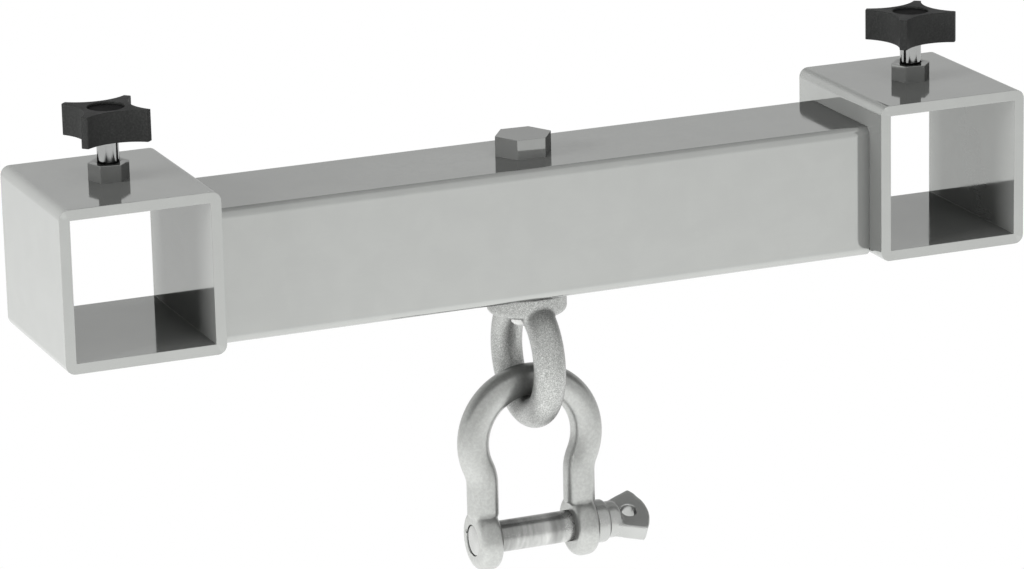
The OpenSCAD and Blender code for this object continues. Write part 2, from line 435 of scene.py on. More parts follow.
def new_material(name, metallic):
    material = bpy.data.materials.new(name)
    material.use_nodes = True
    tree = material.node_tree
    shader = tree.nodes["Principled BSDF"]
    shader.inputs["Metallic"].default_value = metallic
    return material, tree, shader


def effect(tree, group, **values):
    node = tree.nodes.new("ShaderNodeGroup")
    node.node_tree = group
    for key, value in values.items():
        node.inputs[key].default_value = value
    return node.outputs


def shade(colour, factor):
    """The colour made darker or lighter, with its alpha."""
    return tuple(min(1.0, c * factor) for c in colour) + (1.0,)


def mix_colour(tree, factor, a, b):
    node = add(tree, "ShaderNodeMix", {0: factor, 6: a, 7: b}, data_type="RGBA")
    return node.outputs[2]


def dim_when_mirrored(tree, shader, colour, rough):
    """Metal seen in another piece's shine comes out nearly black and without a shine."""
    mirrored = add(tree, "ShaderNodeLightPath").outputs["Is Glossy Ray"]
    black = (0.0, 0.0, 0.0, 1.0)
    tree.links.new(mix_colour(tree, mirrored, colour, black), shader.inputs["Base Color"])
    tree.links.new(math_node(tree, "MAXIMUM", rough, mirrored), shader.inputs["Roughness"])


def bump(tree, shader, height, strength, distance):
    node = add(
        tree, "ShaderNodeBump", {"Height": height, "Strength": strength, "Distance": distance}
    )
    tree.links.new(node.outputs["Normal"], shader.inputs["Normal"])


TINT, LINE_SHARE, LINE_DARK = 0.015, 0.12, 0.9
# Broad dark bands painted into the colour: painted reflection
PAINTED_BAND_STRETCH, PAINTED_BAND_DARK = (110, 22, 22), 0.35
WORN_ROUGH = 0.12


def bright_steel(
    name, light, stretch, rough, grain_depth=0.00004, worn_light=1.1, metallic=0.7, painted_reflection_bands=0.0
):
    """Bright drawn or turned metal: lines along the draw, faint smudges, rubbed edges, and
    broad dark bands that paint in banded reflections."""
    material, tree, shader = new_material(name, metallic)
    grain = effect(tree, GRAIN, Stretch=stretch)
    smudge = effect(tree, SMUDGE, Scale=38.0, Low=rough[0], High=rough[1])["Value"]
    tint = effect(tree, SMUDGE, Scale=90.0, Low=0.0, High=1.0)["Value"]
    worn = effect(tree, WEAR, Amount=0.8, Scale=420.0)["Mask"]
    plain = mix_colour(tree, tint, shade(light, 1 - TINT), shade(light, 1 + TINT))
    lines = math_node(tree, "MULTIPLY", grain["Lines"], LINE_SHARE)
    lined = mix_colour(tree, lines, plain, shade(light, LINE_DARK))
    whole = mix_colour(tree, worn, lined, shade(light, worn_light))
    # Painted reflection: broad dark bands in the colour stand in for the banded reflections of a
    # turned pin
    if painted_reflection_bands:
        bands = effect(tree, GRAIN, Stretch=PAINTED_BAND_STRETCH)["Lines"]
        share = math_node(tree, "MULTIPLY", bands, painted_reflection_bands)
        whole = mix_colour(tree, share, whole, shade(light, PAINTED_BAND_DARK))
    gloss = math_node(tree, "ADD", smudge, math_node(tree, "MULTIPLY", worn, WORN_ROUGH))
    dim_when_mirrored(tree, shader, whole, gloss)
    bump(tree, shader, grain["Height"], strength=0.04, distance=grain_depth)
    return material


def galvanised(name, light, dark, scale, rough, depth, clouding, speckling, metallic):
    """Hot-dipped zinc: specks and clouds in colour, gloss and height."""
    material, tree, shader = new_material(name, metallic)
    specks = effect(tree, SPECKLE, Scale=scale)
    smudge = effect(tree, SMUDGE, Scale=60.0, Low=-0.02, High=0.03)["Value"]
    worn = effect(tree, WEAR, Amount=0.3, Scale=300.0)["Mask"]
    cloud_share = math_node(tree, "MULTIPLY", specks["Clouds"], clouding)
    clouded = mix_colour(tree, cloud_share, shade(light, 1.0), shade(dark, 1.0))
    speck_share = math_node(tree, "MULTIPLY", specks["Specks"], speckling)
    speckled = mix_colour(tree, speck_share, shade(dark, 0.9), clouded)
    whole = mix_colour(tree, worn, speckled, shade(light, 1.05))
    gloss = ease(tree, specks["Clouds"], 0.0, 1.0, rough[0], rough[1])
    dim_when_mirrored(tree, shader, whole, math_node(tree, "ADD", gloss, smudge))
    bump(tree, shader, specks["Height"], strength=0.5, distance=depth)
    return material


DUST_GREY, DUST_ROUGH = (0.3, 0.3, 0.29, 1.0), 0.2


def moulded_black(name, colour, rough, scale, depth, dust, shine):
    """Moulded plastic with a fine grain, paler at rubbed edges, a little dust on top."""
    material, tree, shader = new_material(name, 0.0)
    shader.inputs["Specular IOR Level"].default_value = shine
    specks = effect(tree, SPECKLE, Scale=scale)
    worn = effect(tree, WEAR, Amount=0.5, Scale=260.0)["Mask"]
    dusty = effect(tree, DUST, Amount=dust)["Mask"]
    smudge = effect(tree, SMUDGE, Scale=70.0, Low=-0.05, High=0.05)["Value"]
    grained = mix_colour(tree, specks["Specks"], shade(colour, 0.8), shade(colour, 1.35))
    rubbed = mix_colour(tree, worn, grained, shade(colour, 2.2))
    whole = mix_colour(tree, dusty, rubbed, DUST_GREY)
    dust_rough = math_node(tree, "MULTIPLY", dusty, DUST_ROUGH)
    gloss = math_node(tree, "ADD", smudge, math_node(tree, "ADD", rough, dust_rough))
    tree.links.new(whole, shader.inputs["Base Color"])
    tree.links.new(gloss, shader.inputs["Roughness"])
    bump(tree, shader, specks["Height"], strength=0.5, distance=depth)
    return material


# Lines a metre on each axis, for metal drawn along an axis or turned about one
ALONG_X, ALONG_Y, ALONG_Z = (25, 2600, 2600), (2600, 25, 2600), (2600, 2600, 60)
ROUND_X, ROUND_Z = (2600, 90, 90), (90, 90, 2600)
STEEL, ZINC = (0.497, 0.509, 0.492), (0.38, 0.388, 0.376)
GLOSSY = (0.05, 0.1)
FINISHES = {
    "beam": bright_steel("bright_tube_along_x", STEEL, ALONG_X, GLOSSY),
    "pocket": bright_steel("bright_tube_along_y", STEEL, ALONG_Y, GLOSSY),
    "nut": bright_steel("zinc_nut", ZINC, ALONG_Z, GLOSSY, metallic=0.84),
    "zinc": bright_steel("zinc_hexagon", ZINC, ALONG_Z, GLOSSY, metallic=0.76),
    # Lighter, less metallic copy of the zinc for the bolt's end: painted highlight
    "shank": bright_steel(
        "zinc_shank_painted_highlight", (0.8, 0.81, 0.79), ROUND_Z, (0.2, 0.3),
        grain_depth=0.00003, worn_light=1.05, metallic=0.3,
    ),
    "stud": bright_steel(
        "bright_stud", (0.6, 0.61, 0.6), ROUND_Z, (0.05, 0.12), grain_depth=0.00003, metallic=1.0
    ),
    # The pin's broad dark bands are painted reflection
    "pin": bright_steel(
        "turned_pin", (0.72, 0.73, 0.71), ROUND_X, (0.16, 0.24), metallic=0.85, painted_reflection_bands=0.9
    ),
    "pin_head": bright_steel(
        "forged_pin_head", (0.55, 0.56, 0.545), ROUND_X, (0.2, 0.28), metallic=0.75
    ),
    "brass": bright_steel(
        "turned_brass", (0.62, 0.46, 0.22), ROUND_Z, (0.15, 0.25),
        grain_depth=0.00005, metallic=1.0,
    ),
    "knob": moulded_black(
        "moulded_knob", (0.015, 0.0155, 0.015),
        rough=0.5, scale=1500.0, depth=0.0001, dust=0.01, shine=0.3,
    ),
    "cover": moulded_black(
        "moulded_cover", (0.003, 0.003, 0.003),
        rough=0.6, scale=2200.0, depth=0.00005, dust=0.0, shine=0.1,
    ),
    "forging": galvanised(
        "galvanised_forging", (0.63, 0.645, 0.62), (0.6, 0.61, 0.59), scale=900.0,
        rough=(0.3, 0.32), depth=0.00001, clouding=0.15, speckling=1.0, metallic=0.85,
    ),
    "cast": galvanised(
        "galvanised_cast", (0.82, 0.83, 0.81), (0.38, 0.39, 0.375), scale=2600.0,
        rough=(0.32, 0.38), depth=0.0002, clouding=0.1, speckling=0.95, metallic=0.75,
    ),
}


# ------------------------------------------------------------ square tubes

POCKET_WALL, POCKET_CORNER = 4 * MM, 3.5 * MM
BEAM_WALL, BEAM_CORNER = 3 * MM, 3 * MM
CUT_EDGE, INNER_CORNER = 0.1 * MM, 0.02 * MM
BOLT_HOLE, ROOF_HOLE = 6.5 * MM, 4.5 * MM
EYE_AXIS = axis_foot("bolt_sleeve")


def tube_skin(node, axis, wall, corner):
    """Square tube that fills its node's box along axis 0 or 1, with deburred ends."""
    low, high = (np.array(v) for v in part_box(node))
    middle, half = (low + high) / 2, (high[2] - low[2]) / 2
    start, end = low[axis] - middle[axis], high[axis] - middle[axis]
    ring = [(half, start), (half, end), (half - wall, end), (half - wall, start)]
    levels = []
    for apothem, h in soften(ring, [CUT_EDGE] * 4):
        rounding = np.interp(apothem, [half - wall, half], [INNER_CORNER, corner])
        levels.append((polygon_outline(4, apothem, rounding, math.pi / 4), h))
    return skin(stack(levels, middle, AXES[1 - axis], Z_AXIS, AXES[axis]), wrap=True)


def drill(foot, low, high, radius):
    """Plain round tool along Z, to cut a hole with."""
    return lathe([(radius, low), (radius, high)], foot, wrap=False, caps=True)


def make_cross_tube():
    low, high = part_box("beam_tube")
    tube = mesh_object("cross_tube", [tube_skin("beam_tube", 0, BEAM_WALL, BEAM_CORNER)])
    cut_away(tube, drill(EYE_AXIS, low.z - MM, high.z + MM, BOLT_HOLE))
    hand_over(tube, "beam", ["beam_tube"], FINISHES["beam"])


def make_pocket(side):
    node = f"{side}_fork_pocket"
    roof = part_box(node)[1].z
    pocket = mesh_object(f"{side}_pocket", [tube_skin(node, 1, POCKET_WALL, POCKET_CORNER)])
    cut_away(pocket, drill(axis_foot(node), middle_of(node)[2], roof + MM, ROOF_HOLE))
    hand_over(pocket, "beam", [node], FINISHES["pocket"])


make_cross_tube()
for side in SIDES:
    make_pocket(side)


# ------------------------------------------- nuts, eye bolt and what is on it

HEX_CORNER, HEX_EDGE, HEX_SUPPORT = 0.3 * MM, 0.08 * MM, 0.08 * MM
NUT_APOTHEM, NUT_TURN = 6.5 * MM, math.radians(-11)
NUT_BORE, NUT_COUNTERSINK = 4.05 * MM, 0.3 * MM
HEAD_APOTHEM, HEAD_TURN, HEAD_HEIGHT = 9.5 * MM, math.radians(-3.5), 7.5 * MM
BOLT_RADIUS, BOLT_PLAY, BOLT_PITCH, BOLT_THREAD = 6 * MM, 0.03 * MM, 1.75 * MM, 26 * MM
TIP_CHAMFER, PLAIN_TIP = 0.6 * MM, 6 * MM
THREAD_DEPTH, THREAD_FADE, THREAD_ROWS = 0.55, 1.5, 8
SLEEVE_EDGES = [0.3 * MM] * 4
WASHER_EDGES = [0.15 * MM, 0.35 * MM, 0.6 * MM, 0.15 * MM]


def hexagon(apothem, corner, turn):
    return polygon_outline(6, apothem, corner, turn, steps=4, support=0.2 * MM)


def hexagon_levels(apothem, turn, profile, bore):
    """Loops of a hexagon whose inner ones close to a round bore."""
    outer = hexagon(apothem, HEX_CORNER, turn)
    flank = apothem - 1.4 * HEX_EDGE
    levels = []
    for a, h in profile:
        if a <= bore + 2 * HEX_EDGE:
            levels.append((circle_beside(outer, a), h))
        else:
            corner = HEX_CORNER if a > flank else HEX_CORNER / 2
            levels.append((hexagon(a, corner, turn), h))
    return levels


def make_nut(side):
    node = f"{side}_clamp_nut"
    low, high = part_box(node)
    rim = NUT_BORE + NUT_COUNTERSINK
    corners = [
        (NUT_APOTHEM, low.z), (NUT_APOTHEM, high.z), (rim, high.z),
        (NUT_BORE, high.z - NUT_COUNTERSINK), (NUT_BORE, low.z),
    ]
    profile = soften(corners, [0, HEX_EDGE, 0, 0, 0], support=HEX_SUPPORT)
    levels = hexagon_levels(NUT_APOTHEM, NUT_TURN, profile, NUT_BORE)
    nut = mesh_object(f"{side}_welded_nut", [skin(upright(levels, axis_foot(node)), wrap=True)])
    hand_over(nut, "beam", [node], FINISHES["nut"])


def threaded_rod(radius, pitch, low, thread_top, high, foot, plain=0.0, count=48):
    """Round bar along Z. Its chamfered tip is plain for a length, then a V thread runs up
    to thread_top and fades out there."""
    turns, unit = np.arange(count) / count, circle(1.0, count)
    loops = []
    for h in np.arange(low, thread_top, pitch / THREAD_ROWS):
        tooth = np.abs(2 * np.mod((h - low) / pitch - turns, 1) - 1)
        fade_in = max(0.0, (h - low - plain) / pitch + 1)
        fade_out = (thread_top - h) / (THREAD_FADE * pitch)
        cut = THREAD_DEPTH * pitch * tooth * min(1.0, fade_out, fade_in)
        r = np.minimum(radius - cut, radius - TIP_CHAMFER + (h - low))
        loops.append((unit * r[:, None], h))
    for h in (thread_top, thread_top + 0.1 * MM, high):
        loops.append((circle(radius, count), h))
    return skin(upright(loops, foot), caps=True)


def make_eye_bolt():
    """Head and shank are two meshes, because the shank's end is the lighter of the two: its zinc
    is a lighter, less metallic copy, a painted highlight.
    """
    low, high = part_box("eye_bolt")
    head_base, inside = high.z - HEAD_HEIGHT, BOLT_RADIUS / 2
    corners = [
        (inside, head_base), (HEAD_APOTHEM, head_base), (HEAD_APOTHEM, high.z), (inside, high.z),
    ]
    profile = soften(corners, [0, 0, HEX_EDGE, 0], support=HEX_SUPPORT, closed=False)
    levels = hexagon_levels(HEAD_APOTHEM, HEAD_TURN, profile, BOLT_RADIUS)
    head = mesh_object("eye_bolt_head", [skin(upright(levels, EYE_AXIS), caps=True)])
    hand_over(head, "beam", ["eye_bolt"], FINISHES["zinc"])
    rod = threaded_rod(
        BOLT_RADIUS - BOLT_PLAY, BOLT_PITCH, low.z, low.z + BOLT_THREAD, head_base + MM,
        EYE_AXIS, plain=PLAIN_TIP,
    )
    shank = mesh_object("eye_bolt_shank", [rod])
    hand_over(shank, "beam", ["eye_bolt"], FINISHES["shank"])


def make_ring_on_bolt(name, node, edges):
    """Turned ring that fills its node's box, with its four edges rounded."""
    low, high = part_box(node)
    radius = (high.x - low.x) / 2
    corners = [(BOLT_HOLE, low.z), (radius, low.z), (radius, high.z), (BOLT_HOLE, high.z)]
    ring = mesh_object(name, [lathe(soften(corners, edges), EYE_AXIS)])
    hand_over(ring, "beam", [node], FINISHES["zinc"])


for side in SIDES:
    make_nut(side)
make_eye_bolt()
make_ring_on_bolt("spacer_sleeve", "bolt_sleeve", SLEEVE_EDGES)
make_ring_on_bolt("plain_washer", "eye_washer", WASHER_EDGES)


# --------------------------------------------------- clamp screws and knobs

STUD_PITCH, THREAD_LENGTH = 1.25 * MM, 9.5 * MM
TIP_RADIUS, WAIST_RADIUS, SIDE_RADIUS = 17.15 * MM, 9.1 * MM, 17.3 * MM
LOBE_CORNER, KNOB_EDGE = 0.4 * MM, 0.22 * MM
SIDE_SUPPORT, FACE_SUPPORT = 0.12 * MM, 0.15 * MM
RECESS_RADIUS, RECESS_DEPTH = 6.8 * MM, 2 * MM
CAP_GAP, CAP_DOME, CAP_CORE = 0.12 * MM, 0.35 * MM, 0.2 * MM
FLANGE_LIP, FLANGE_THICK, SHANK_GAP = 1 * MM, 1.5 * MM, 0.02 * MM
KNOB_TURNS = {"left": 45, "right": 54}


def make_stud(side, foot):
    node = f"{side}_clamp_stud"
    low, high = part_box(node)
    radius = (high.x - low.x) / 2
    rod = threaded_rod(
        radius, STUD_PITCH, low.z, low.z + THREAD_LENGTH, high.z, foot, count=64
    )
    stud = mesh_object(f"{side}_clamp_screw", [rod])
    hand_over(stud, f"{side}_stud", [node], FINISHES["stud"])


def lobe_outline(inset, turn):
    """Four lobes with hollow sides between them, every corner rounded."""
    hollow = WAIST_RADIUS + SIDE_RADIUS
    reach = TIP_RADIUS - LOBE_CORNER
    gap = math.acos(
        (hollow**2 + reach**2 - (SIDE_RADIUS + LOBE_CORNER) ** 2) / (2 * hollow * reach)
    )
    tip_half = math.pi / 4 - gap
    hollow_centre = hollow * np.array([math.cos(math.pi / 4), math.sin(math.pi / 4)])
    corner = reach * np.array([math.cos(tip_half), math.sin(tip_half)])
    towards, away = hollow_centre - corner, corner - hollow_centre
    turn_to = math.atan2(towards[1], towards[0])
    first = math.atan2(away[1], away[0]) % (2 * math.pi)
    arcs = [
        ((0, 0), TIP_RADIUS - inset, (-tip_half, tip_half), 8),
        (corner, LOBE_CORNER - inset, (tip_half, turn_to), 6),
        (hollow_centre, SIDE_RADIUS + inset, (first, 2.5 * math.pi - first), 18),
        (corner[::-1], LOBE_CORNER - inset, (math.pi / 2 - turn_to, math.pi / 2 - tip_half), 6),
    ]
    points = []
    for quarter in range(4):
        spin = turn + quarter * math.pi / 2
        c, s = math.cos(spin), math.sin(spin)
        for centre, radius, ends, steps in arcs:
            for a in np.linspace(*ends, steps + 1)[:-1]:
                px, py = centre[0] + radius * math.cos(a), centre[1] + radius * math.sin(a)
                points.append((c * px - s * py, s * px + c * py))
    return np.array(points)


def insert_radii(side):
    """Flange and shank of the insert that the knob is moulded round."""
    low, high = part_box(f"{side}_knob_insert")
    flange = (high.x - low.x) / 2
    return flange, flange - FLANGE_LIP


def make_knob(side, foot):
    """Star knob, with a recess in its top and a hole for the insert."""
    node = f"{side}_knob"
    base, top = (corner.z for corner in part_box(node))
    turn, edge = math.radians(KNOB_TURNS[side]), KNOB_EDGE
    plain, rounding = lobe_outline(0, turn), np.linspace(0, math.pi / 2, 5)
    levels = [
        (lobe_outline(edge * (1 - math.sin(a)), turn), base + edge * (1 - math.cos(a)))
        for a in rounding
    ]
    levels.append((plain, base + edge + SIDE_SUPPORT))
    levels.append((plain, top - edge - SIDE_SUPPORT))
    levels += [
        (lobe_outline(edge * (1 - math.cos(a)), turn), top - edge * (1 - math.sin(a)))
        for a in rounding
    ]
    levels.append((lobe_outline(edge + FACE_SUPPORT, turn), top))
    hole, recess_floor = insert_radii(side)[1], top - RECESS_DEPTH
    bowl = soften(
        [(RECESS_RADIUS + MM, top), (RECESS_RADIUS, top), (RECESS_RADIUS, recess_floor),
         (hole, recess_floor), (hole, base), (hole + MM, base)],
        [0, 0.25 * MM, 0.15 * MM, 0, 0.2 * MM, 0], closed=False,
    )
    levels += [(circle_beside(plain, r), h) for r, h in bowl]
    levels.append((lobe_outline(edge + FACE_SUPPORT, turn), base))
    knob = mesh_object(f"{side}_star_knob", [skin(upright(levels, foot), wrap=True)])
    hand_over(knob, f"{side}_handwheel", [node], FINISHES["knob"])


def make_cover(side, foot):
    """Round cover in the knob's recess, with a low dome."""
    node = f"{side}_knob_cap"
    low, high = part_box(node)
    radius = RECESS_RADIUS - CAP_GAP
    dome = [
        (radius * math.cos(a), high.z - CAP_DOME + CAP_DOME * math.sin(a))
        for a in np.linspace(math.pi / 4, math.pi / 2, 8)[:-1]
    ]
    wall = soften(
        [(CAP_CORE, low.z), (radius, low.z), (radius, dome[0][1]), dome[0]],
        [0, 0.15 * MM, 0.2 * MM, 0], closed=False,
    )
    profile = list(wall[:-1]) + dome + [(CAP_CORE / 2, high.z)]
    cover = mesh_object(f"{side}_knob_cover", [lathe(profile, foot, wrap=False, caps=True)])
    hand_over(cover, f"{side}_handwheel", [node], FINISHES["cover"])


def make_insert(side, foot):
    """Threaded insert inside the knob, with a flange at its top."""
    node = f"{side}_knob_insert"
    low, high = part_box(node)
    flange, shank = insert_radii(side)
    neck, step = shank - SHANK_GAP, high.z - FLANGE_THICK
    profile = soften(
        [(NUT_BORE, low.z), (neck, low.z), (neck, step), (flange, step), (flange, high.z),
         (NUT_BORE, high.z)],
        [0.3 * MM, 0.3 * MM, 0, 0.1 * MM, 0.1 * MM, 0.2 * MM],
    )
    insert = mesh_object(f"{side}_threaded_insert", [lathe(profile, foot)])
    hand_over(insert, f"{side}_handwheel", [node], FINISHES["brass"])


for side in SIDES:
    make_stud(side, axis_foot(f"{side}_clamp_stud"))
for side in SIDES:
    screw_axis = axis_foot(f"{side}_clamp_stud")
    make_knob(side, screw_axis)
    make_cover(side, screw_axis)
    make_insert(side, screw_axis)


# --------------------------------------------------------------- eye nut

EYE_MEAN, EYE_BAR, EYE_BORE = 21 * MM, 6 * MM, 6.05 * MM
FOOT_HEIGHT, FOOT_UNDER, FOOT_EDGE, CORE = 8 * MM, 2.2 * MM, 0.5 * MM, 0.5 * MM
RING_STEPS = 144
CAST_VOXEL, CAST_FILLET, CAST_DENT, CAST_GRAIN = 0.45 * MM, 1.4 * MM, 0.02 * MM, 0.9 * MM
SMOOTHING, FILLET_PULL = 0.35, 0.5


def make_eye_nut():
    """Round foot and ring fused into one casting, with a fillet where they meet."""
    low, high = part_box("eye_nut")
    radius, top, bottom = (high.x - low.x) / 2, high.z, high.z - FOOT_HEIGHT
    centre = EYE_AXIS + [0, 0, low.z + EYE_MEAN + EYE_BAR]
    foot = soften(
        [(CORE, bottom), (radius, bottom), (radius, top), (CORE, top)],
        [0, FOOT_UNDER, FOOT_EDGE, 0], steps=6, closed=False,
    )
    path = [
        centre + EYE_MEAN * np.array([0, math.cos(a), math.sin(a)])
        for a in np.linspace(0, 2 * math.pi, RING_STEPS + 1)[:-1]
    ]
    eye = mesh_object(
        "eye_nut_cast",
        [lathe(foot, EYE_AXIS, wrap=False, caps=True), sweep(path, X_AXIS, EYE_BAR, closed=True)],
    )
    fuse(eye, CAST_VOXEL)
    at = points_of(eye) - centre
    to_ring = np.hypot(np.hypot(at[:, 1], at[:, 2]) - EYE_MEAN, at[:, 0]) - EYE_BAR
    to_foot = np.maximum(np.hypot(at[:, 0], at[:, 1]) - radius, bottom - centre[2] - at[:, 2])
    relax(eye, np.full(len(at), SMOOTHING), 2)
    relax(eye, FILLET_PULL * near(to_ring, CAST_FILLET) * near(to_foot, CAST_FILLET), 8)
    roughen(eye, CAST_DENT, CAST_GRAIN)
    facing = [(radius + MM, top), (radius + MM, top + EYE_BAR)]
    cut_away(
        eye,
        drill(EYE_AXIS, centre[2], top + MM, EYE_BORE),
        lathe(facing, EYE_AXIS, wrap=False, caps=True),
    )
    hand_over(eye, "beam", ["eye_nut"], FINISHES["cast"])


make_eye_nut()


# --------------------------------------------------------------- shackle

BOW_RADIUS, LEG_OFFSET, BAR_RADIUS = 23 * MM, 19.65 * MM, 6 * MM
TURN_IN = math.radians(24)
EAR_RADIUS, EAR_THICK, EAR_ROUND = 11.9 * MM, 8.8 * MM, 3.2 * MM
LEG_END, JOIN_ABOVE = 9.5 * MM, 4 * MM
PIN_BORE = 6.05 * MM
FORGED_VOXEL, FORGED_FILLET = 0.45 * MM, 1.2 * MM
SLIT_REACH, SLIT_RADIUS = 6.25 * MM, 0.28 * MM
SLIT_FROM, SLIT_TO = math.radians(18), math.radians(-68)
PUNCH_RADIUS, PUNCH_Y, PUNCH_Z, PUNCH_SWEEP = 0.75 * MM, 6.6 * MM, 1.7 * MM, 1.4

bow_low, bow_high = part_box("shackle_bow")
bow_middle = middle_of("shackle_bow")
BOW_CENTRE = np.array([bow_middle[0], bow_middle[1], bow_high.z - BAR_RADIUS - BOW_RADIUS])
PIN_AXIS = np.array([bow_middle[0], bow_middle[1], bow_low.z + EAR_RADIUS])


def bow_path():
    """Crown arc that turns in past the half circle, and back to two straight legs."""
    return_radius = (BOW_RADIUS - LEG_OFFSET) / (1 - math.cos(TURN_IN)) - BOW_RADIUS
    reach = BOW_RADIUS + return_radius
    turn_x, leg_top = reach * math.cos(TURN_IN), -reach * math.sin(TURN_IN)
    leg_bottom = PIN_AXIS[2] + LEG_END - BOW_CENTRE[2]
    half = [
        (BOW_RADIUS * math.cos(a), BOW_RADIUS * math.sin(a))
        for a in np.linspace(math.pi / 2, -TURN_IN, 60)
    ]
    half += [
        (turn_x - return_radius * math.cos(a), leg_top + return_radius * math.sin(a))
        for a in np.linspace(TURN_IN, 0, 14)[1:]
    ]
    half += [(LEG_OFFSET, h) for h in np.linspace(leg_top, leg_bottom, 8)[1:]]
    whole = [(-px, pz) for px, pz in half[:0:-1]] + half
    return [BOW_CENTRE + [px, 0, pz] for px, pz in whole]


def along_pin(profile):
    """Turned shape about the shackle's pin, measured from the middle between the ears."""
    return lathe(profile, PIN_AXIS, along=X_AXIS, wrap=False, caps=True)


def ear_skin(side):
    """Flattened end of a leg: a thick disc with a soft rim."""
    inner, outer = LEG_OFFSET - EAR_THICK / 2, LEG_OFFSET + EAR_THICK / 2
    start, end = sorted((side * inner, side * outer))
    rim = [(CORE, start), (EAR_RADIUS, start), (EAR_RADIUS, end), (CORE, end)]
    return along_pin(soften(rim, [0, EAR_ROUND, EAR_ROUND, 0], steps=8, closed=False))


def slit_and_punch():
    """Curved slit and centre mark on the left ear's outer face."""
    face = -LEG_OFFSET - EAR_THICK / 2
    slit = [
        PIN_AXIS + [face, SLIT_REACH * math.cos(a), SLIT_REACH * math.sin(a)]
        for a in np.linspace(SLIT_FROM, SLIT_TO, 24)
    ]
    ball = [
        (PUNCH_RADIUS * math.cos(a), PUNCH_RADIUS * math.sin(a))
        for a in np.linspace(-PUNCH_SWEEP, PUNCH_SWEEP, 9)
    ]
    punch = PIN_AXIS + [face, PUNCH_Y, PUNCH_Z]
    return (
        sweep(slit, X_AXIS, SLIT_RADIUS, count=12),
        lathe(ball, punch, along=X_AXIS, count=24, wrap=False, caps=True),
    )


def make_bow():
    """Bar and ears fused into one forging, with a fillet where each leg meets its ear."""
    bow = mesh_object(
        "bow_forging",
        [sweep(bow_path(), Y_AXIS, BAR_RADIUS, count=48), ear_skin(-1), ear_skin(1)],
    )
    fuse(bow, FORGED_VOXEL)
    at = points_of(bow) - PIN_AXIS
    from_leg = np.abs(at[:, 0]) - LEG_OFFSET
    to_leg = np.hypot(from_leg, at[:, 1]) - BAR_RADIUS
    to_ear = np.maximum(
        np.hypot(at[:, 1], at[:, 2]) - EAR_RADIUS, np.abs(from_leg) - EAR_THICK / 2
    )
    relax(bow, np.full(len(at), SMOOTHING), 3)
    join = near(to_leg, FORGED_FILLET) * near(to_ear, FORGED_FILLET) * (at[:, 2] > JOIN_ABOVE)
    relax(bow, FILLET_PULL * join, 6)
    cut_away(bow, along_pin([(PIN_BORE, -2 * LEG_OFFSET), (PIN_BORE, 2 * LEG_OFFSET)]))
    cut_away(bow, *slit_and_punch())
    hand_over(bow, "shackle", ["shackle_bow"], FINISHES["forging"])


make_bow()


# ------------------------------------------------------------ shackle pin

PIN_RADIUS, PIN_CORE = 6 * MM, 0.4 * MM
COLLAR_RADIUS, COLLAR_LENGTH, COLLAR_EDGE = 8.2 * MM, 5.4 * MM, 1.176 * MM
COLLAR_START = LEG_OFFSET + EAR_THICK / 2 + 0.15 * MM
COLLAR_END = COLLAR_START + COLLAR_LENGTH
NECK_RADIUS, NECK_X, NECK_OVERLAP, NECK_ROUND = 7 * MM, 31.2 * MM, 4 * MM, 2.5 * MM
TAB_TILT, TAB_THICK, TAB_EDGE = math.radians(28.5), 7 * MM, 0.7 * MM
TAB_RADIUS, TAB_NECK, TAB_FLARE = 15.8 * MM, 6.15 * MM, 0.378
TAB_HOLE, TAB_HOLE_REACH = 2.9 * MM, 8.1 * MM
FLANK_SHARE, END_SHARE = 0.98, 0.97
HOLE_EDGE, HOLE_FLARE, HOLE_PAST = 0.4 * MM, 2.4 * MM, 2 * MM
HEAD_VOXEL, HEAD_SMOOTHING, HEAD_FILLET = 0.32 * MM, 0.4, 2 * MM


def make_pin_bar():
    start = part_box("shackle_pin")[0].x - PIN_AXIS[0]
    end = COLLAR_START + MM
    profile = soften(
        [(PIN_CORE, start), (PIN_RADIUS, start), (PIN_RADIUS, end), (PIN_CORE, end)],
        [0, TIP_CHAMFER, 0, 0], steps=5, closed=False,
    )
    bar = mesh_object("pin_bar", [along_pin(profile)])
    hand_over(bar, "pin", ["shackle_pin"], FINISHES["pin"])


def collar_skin():
    """Collar against the ear, and the neck that runs into the tab."""
    neck_end = NECK_X + NECK_OVERLAP
    profile = soften(
        [(PIN_CORE, COLLAR_START), (COLLAR_RADIUS, COLLAR_START), (COLLAR_RADIUS, COLLAR_END),
         (NECK_RADIUS, COLLAR_END), (NECK_RADIUS, neck_end), (PIN_CORE, neck_end)],
        [0, TIP_CHAMFER, COLLAR_EDGE, 0, NECK_ROUND, 0], steps=5, closed=False,
    )
    return along_pin(profile)


def tab_outline(inset):
    """Flared flanks from the neck, and a round end, drawn in by inset. Both stop a little
    short of the corner between them, which blunts it."""
    radius, half = TAB_RADIUS - inset, TAB_NECK - inset * math.hypot(1, TAB_FLARE)
    a, b = 1 + TAB_FLARE**2, 2 * half * TAB_FLARE
    end_x = (-b + math.sqrt(b * b - 4 * a * (half * half - radius * radius))) / (2 * a)
    reach = END_SHARE * math.atan2(half + TAB_FLARE * end_x, end_x)
    lower = [(t * end_x, -half - TAB_FLARE * t * end_x) for t in np.linspace(0, FLANK_SHARE, 12)]
    arc = [
        (radius * math.cos(t), radius * math.sin(t)) for t in np.linspace(-reach, reach, 40)
    ]
    upper = [(px, -py) for px, py in lower[::-1]]
    return np.array([(-MM, -half)] + lower + arc + upper + [(-MM, half)])


